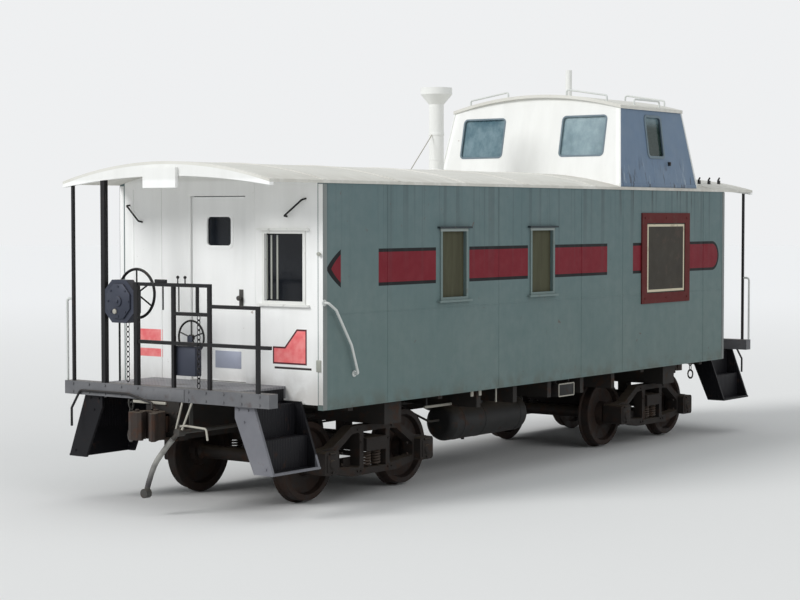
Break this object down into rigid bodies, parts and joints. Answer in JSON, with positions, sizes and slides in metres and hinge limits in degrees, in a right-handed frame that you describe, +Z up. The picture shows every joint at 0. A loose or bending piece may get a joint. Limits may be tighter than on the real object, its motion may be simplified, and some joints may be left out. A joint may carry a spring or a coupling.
{
  "type": "railway caboose",
  "caption": "Steel railway caboose with an offset cupola, open end platforms with steps and railings, and two swivelling four-wheel trucks.",
  "frame": {"origin": "on the level of the wheel flanges' tips, under the middle of the car", "axes": "+X along the car towards its A end, where the cupola is, +Y across the car, +Z up"},
  "size_m": [11.157, 2.983, 4.9648],
  "materials": {
    "body_paint": "weathered silver grey paint, chalky, with rust streaks",
    "end_paint": "weathered white paint",
    "roof_paint": "weathered white paint, dull",
    "railing_paint": "weathered black paint",
    "handrail_paint": "white paint",
    "underframe_steel": "dull black paint with dust and rust",
    "step_steel": "worn grey black paint",
    "deck_steel": "worn dark grey paint",
    "truck_iron": "cast steel, brown rust and grease",
    "wheel_steel": "rusty steel with worn treads",
    "axle_steel": "rusty steel",
    "coupler_iron": "rusty cast steel",
    "spring_steel": "dark rusty steel",
    "pipe_steel": "dull black paint with rust",
    "brake_box_paint": "dark grey paint",
    "hose_rubber": "sun bleached black rubber",
    "window_glass": "dusty window glass",
    "window_board": "olive brown boarded panel",
    "sign_paint": "dark red frame with a dark plain field"
  },
  "bodies": {
    "car_body": {"centre_sill": "underframe_steel", "cross_members": "underframe_steel", "end_sills": "underframe_steel", "air_reservoir": "underframe_steel", "brake_cylinder": "underframe_steel", "floor": "deck_steel", "platform_decks": "deck_steel", "side_wall_right": "body_paint", "side_wall_left": "body_paint", "cupola_sides": "body_paint", "window_frames": "body_paint", "end_wall_a": "end_paint", "end_wall_b": "end_paint", "cupola_ends": "end_paint", "end_light_boxes": "end_paint", "roof": "roof_paint", "roof_fascias": "roof_paint", "cupola_roof": "roof_paint", "smoke_jack": "roof_paint", "roof_vent": "roof_paint", "end_window_panes": "window_glass", "cupola_panes": "window_glass", "side_window_panels": "window_board", "end_railings": "railing_paint", "brake_wheels": "railing_paint", "uncoupling_levers": "railing_paint", "hand_brakes": "brake_box_paint", "handrails": "handrail_paint", "steps": "step_steel", "couplers": "coupler_iron", "knuckles": "coupler_iron", "gladhand_a": "coupler_iron", "gladhand_b": "coupler_iron", "brake_pipe": "pipe_steel", "hose_a": "hose_rubber", "hose_b": "hose_rubber", "sign_boards": "sign_paint"},
    "truck_b": {"side_frames_b": "truck_iron", "truck_bolster_b": "truck_iron", "springs_b": "spring_steel", "brake_beams_b": "truck_iron"},
    "truck_a": {"side_frames_a": "truck_iron", "truck_bolster_a": "truck_iron", "springs_a": "spring_steel", "brake_beams_a": "truck_iron"},
    "b_door": {"door_b": "end_paint", "door_pane_b": "window_glass"},
    "a_door": {"door_a": "end_paint", "door_pane_a": "window_glass"},
    "wheelset_1": {"wheels_1": "wheel_steel", "axle_1": "axle_steel"},
    "wheelset_2": {"wheels_2": "wheel_steel", "axle_2": "axle_steel"},
    "wheelset_3": {"wheels_3": "wheel_steel", "axle_3": "axle_steel"},
    "wheelset_4": {"wheels_4": "wheel_steel", "axle_4": "axle_steel"}
  },
  "joints": [
    {"name": "truck_b_swivel", "type": "hinge", "parent": "car_body", "child": "truck_b", "pos_m": [-3.048, 0, 0.66], "axis": [0, 0, 1], "range_deg": [-5, 5]},
    {"name": "truck_a_swivel", "type": "hinge", "parent": "car_body", "child": "truck_a", "pos_m": [3.048, 0, 0.66], "axis": [0, 0, 1], "range_deg": [-5, 5]},
    {"name": "wheelset_1_spin", "type": "hinge", "parent": "truck_b", "child": "wheelset_1", "pos_m": [-3.886, 0, 0.444], "axis": [0, 1, 0], "continuous": true},
    {"name": "wheelset_2_spin", "type": "hinge", "parent": "truck_b", "child": "wheelset_2", "pos_m": [-2.21, 0, 0.444], "axis": [0, 1, 0], "continuous": true},
    {"name": "wheelset_3_spin", "type": "hinge", "parent": "truck_a", "child": "wheelset_3", "pos_m": [2.21, 0, 0.444], "axis": [0, 1, 0], "continuous": true},
    {"name": "wheelset_4_spin", "type": "hinge", "parent": "truck_a", "child": "wheelset_4", "pos_m": [3.886, 0, 0.444], "axis": [0, 1, 0], "continuous": true},
    {"name": "b_door_swing", "type": "hinge", "parent": "car_body", "child": "b_door", "pos_m": [-4.3015, 0.383, 2.25], "axis": [0, 0, 1], "range_deg": [0, 95]},
    {"name": "a_door_swing", "type": "hinge", "parent": "car_body", "child": "a_door", "pos_m": [4.3015, -0.383, 2.25], "axis": [0, 0, 1], "range_deg": [0, 95]}
  ]
}
